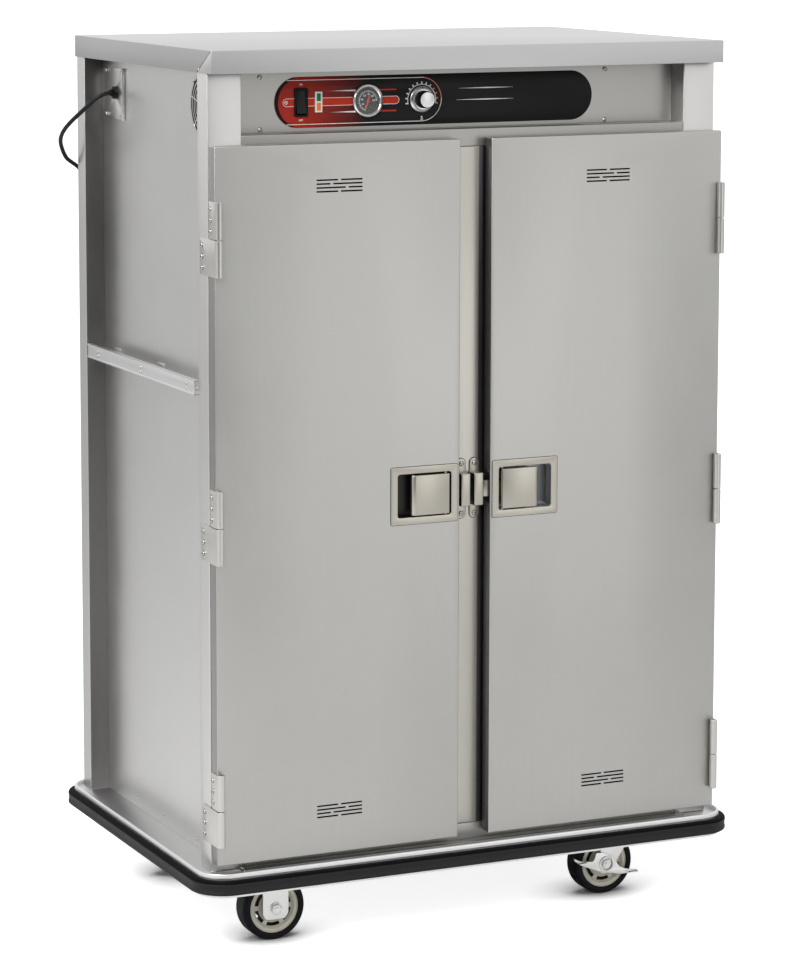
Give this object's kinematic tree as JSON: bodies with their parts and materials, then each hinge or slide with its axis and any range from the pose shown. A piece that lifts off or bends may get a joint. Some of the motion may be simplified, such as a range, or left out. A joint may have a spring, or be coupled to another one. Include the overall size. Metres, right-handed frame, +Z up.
{
  "type": "plate warmer cabinet",
  "caption": "Tall mobile heated cabinet for plates with a pair of hinged doors, latches, a recessed control panel, side push bars, a bumpered base and casters.",
  "frame": {"origin": "on the floor, under the middle of the bumper", "axes": "+X to the right seen from the front, +Y to the rear, +Z up; the doors face -Y"},
  "size_m": [1.1592, 1.0201, 1.704],
  "materials": {
    "body": "satin brushed sheet, edges folded",
    "deck": "mill finish with light scuffs",
    "bumper": "smooth matt extrusion",
    "caster_steel": "bright zinc plate",
    "tyre": "smooth grey-black tread on a cream rim",
    "gasket": "soft black extrusion",
    "latch": "satin plated pressing",
    "hinge": "satin plated",
    "label": "printed film, red fading to black",
    "chrome": "bright",
    "needle": "red enamel",
    "black_plastic": "fine grained",
    "white_plastic": "moulded, coloured lenses",
    "knob": "turned satin",
    "fan": "moulded",
    "cord": "matt jacket",
    "bar": "bright extruded",
    "inner": "mill finish sheet",
    "motor": "grey enamel"
  },
  "bodies": {
    "cabinet": {"base_frame": "caster_steel", "deck": "deck", "bumper": "bumper", "rigid_casters": "caster_steel", "swivel_plates": "caster_steel", "front_posts": "body", "rear_posts": "body", "center_mullion": "body", "header_rail": "body", "sill_rail": "body", "side_panel_left": "body", "side_panel_right": "body", "back_panel": "body", "top_cap": "body", "control_panel": "body", "control_overlay": "label", "thermometer": "chrome", "rocker_frame": "black_plastic", "indicator_lights": "white_plastic", "thermostat_body": "caster_steel", "fan_guard": "caster_steel", "cooling_fan": "fan", "cord_plate": "body", "cord_gland": "black_plastic", "power_cord": "cord", "cord_coil": "cord", "power_plug": "cord", "push_bar_left": "bar", "push_bar_right": "bar", "liner": "inner", "shelf_rails": "inner", "shelves": "inner", "air_duct": "inner", "blower_motor": "motor", "hinges_and_strikes": "hinge"},
    "fork_front_right": {"fork_front_right": "caster_steel"},
    "fork_rear_right": {"fork_rear_right": "caster_steel"},
    "brake_front_right": {"brake_front_right": "caster_steel"},
    "brake_rear_right": {"brake_rear_right": "caster_steel"},
    "wheel_front_left": {"wheel_front_left": "tyre"},
    "wheel_front_right": {"wheel_front_right": "tyre"},
    "wheel_rear_left": {"wheel_rear_left": "tyre"},
    "wheel_rear_right": {"wheel_rear_right": "tyre"},
    "gauge_needle": {"thermometer_needle": "needle"},
    "rocker": {"power_rocker": "black_plastic"},
    "knob": {"thermostat_knob": "knob"},
    "fan_rotor": {"fan_rotor": "fan"},
    "blower_wheel": {"blower_wheel": "inner"},
    "left_door": {"door_left": "body", "gasket_left": "gasket", "latch_pan_left": "latch", "hinge_leaves_left": "hinge"},
    "right_door": {"door_right": "body", "gasket_right": "gasket", "latch_pan_right": "latch", "hinge_leaves_right": "hinge"},
    "left_paddle": {"latch_paddle_left": "latch"},
    "right_paddle": {"latch_paddle_right": "latch"},
    "left_bolt": {"latch_bolt_left": "latch"},
    "right_bolt": {"latch_bolt_right": "latch"}
  },
  "joints": [
    {"name": "left_door_swing", "type": "hinge", "parent": "cabinet", "child": "left_door", "pos_m": [-0.5315, -0.3805, 0.818], "axis": [0, 0, -1], "range_deg": [0, 265]},
    {"name": "right_door_swing", "type": "hinge", "parent": "cabinet", "child": "right_door", "pos_m": [0.5315, -0.3805, 0.818], "axis": [0, 0, 1], "range_deg": [0, 265]},
    {"name": "left_paddle_pull", "type": "hinge", "parent": "left_door", "child": "left_paddle", "pos_m": [-0.0605, -0.3685, 0.851], "axis": [0, 0, 1], "range_deg": [0, 40], "stiffness_Nm_per_rad": 0.3},
    {"name": "right_paddle_pull", "type": "hinge", "parent": "right_door", "child": "right_paddle", "pos_m": [0.0605, -0.3685, 0.851], "axis": [0, 0, -1], "range_deg": [0, 40], "stiffness_Nm_per_rad": 0.3},
    {"name": "left_bolt_slide", "type": "slide", "parent": "left_door", "child": "left_bolt", "axis": [-1, 0, 0], "range_m": [0, 0.008], "stiffness_N_per_m": 60},
    {"name": "right_bolt_slide", "type": "slide", "parent": "right_door", "child": "right_bolt", "axis": [1, 0, 0], "range_m": [0, 0.008], "stiffness_N_per_m": 60},
    {"name": "power_rock", "type": "hinge", "parent": "cabinet", "child": "rocker", "pos_m": [-0.328, -0.289, 1.6], "axis": [1, 0, 0], "range_deg": [0, 16]},
    {"name": "thermostat_turn", "type": "hinge", "parent": "cabinet", "child": "knob", "pos_m": [-0.077, -0.305, 1.6], "axis": [0, 1, 0], "range_deg": [0, 300]},
    {"name": "needle_sweep", "type": "hinge", "parent": "cabinet", "child": "gauge_needle", "pos_m": [-0.191, -0.296, 1.6], "axis": [0, 1, 0], "range_deg": [0, 250], "stiffness_Nm_per_rad": 0.002},
    {"name": "fan_spin", "type": "hinge", "parent": "cabinet", "child": "fan_rotor", "pos_m": [-0.48, -0.219, 1.595], "axis": [1, 0, 0], "continuous": true},
    {"name": "blower_spin", "type": "hinge", "parent": "cabinet", "child": "blower_wheel", "pos_m": [0, 0.09, 1.475], "axis": [0, 0, 1], "continuous": true},
    {"name": "front_right_swivel", "type": "hinge", "parent": "cabinet", "child": "fork_front_right", "pos_m": [0.36, -0.2965, 0.135], "axis": [0, 0, 1], "continuous": true},
    {"name": "front_right_roll", "type": "hinge", "parent": "fork_front_right", "child": "wheel_front_right", "pos_m": [0.32, -0.2965, 0.0635], "axis": [0, 1, 0], "continuous": true},
    {"name": "front_right_brake", "type": "hinge", "parent": "fork_front_right", "child": "brake_front_right", "pos_m": [0.32, -0.2965, 0.0635], "axis": [0, 1, 0], "range_deg": [-15, 15]},
    {"name": "rear_right_swivel", "type": "hinge", "parent": "cabinet", "child": "fork_rear_right", "pos_m": [0.36, 0.1745, 0.135], "axis": [0, 0, 1], "continuous": true},
    {"name": "rear_right_roll", "type": "hinge", "parent": "fork_rear_right", "child": "wheel_rear_right", "pos_m": [0.32, 0.1745, 0.0635], "axis": [0, 1, 0], "continuous": true},
    {"name": "rear_right_brake", "type": "hinge", "parent": "fork_rear_right", "child": "brake_rear_right", "pos_m": [0.32, 0.1745, 0.0635], "axis": [0, 1, 0], "range_deg": [-15, 15]},
    {"name": "front_left_roll", "type": "hinge", "parent": "cabinet", "child": "wheel_front_left", "pos_m": [-0.402, -0.3075, 0.0635], "axis": [0, 1, 0], "continuous": true},
    {"name": "rear_left_roll", "type": "hinge", "parent": "cabinet", "child": "wheel_rear_left", "pos_m": [-0.402, 0.1745, 0.0635], "axis": [0, 1, 0], "continuous": true}
  ],
  "couplings": [
    {"joint": "left_bolt_slide", "follows": "left_paddle_pull", "m_per_rad": 0.01145},
    {"joint": "right_bolt_slide", "follows": "right_paddle_pull", "m_per_rad": 0.01145}
  ]
}
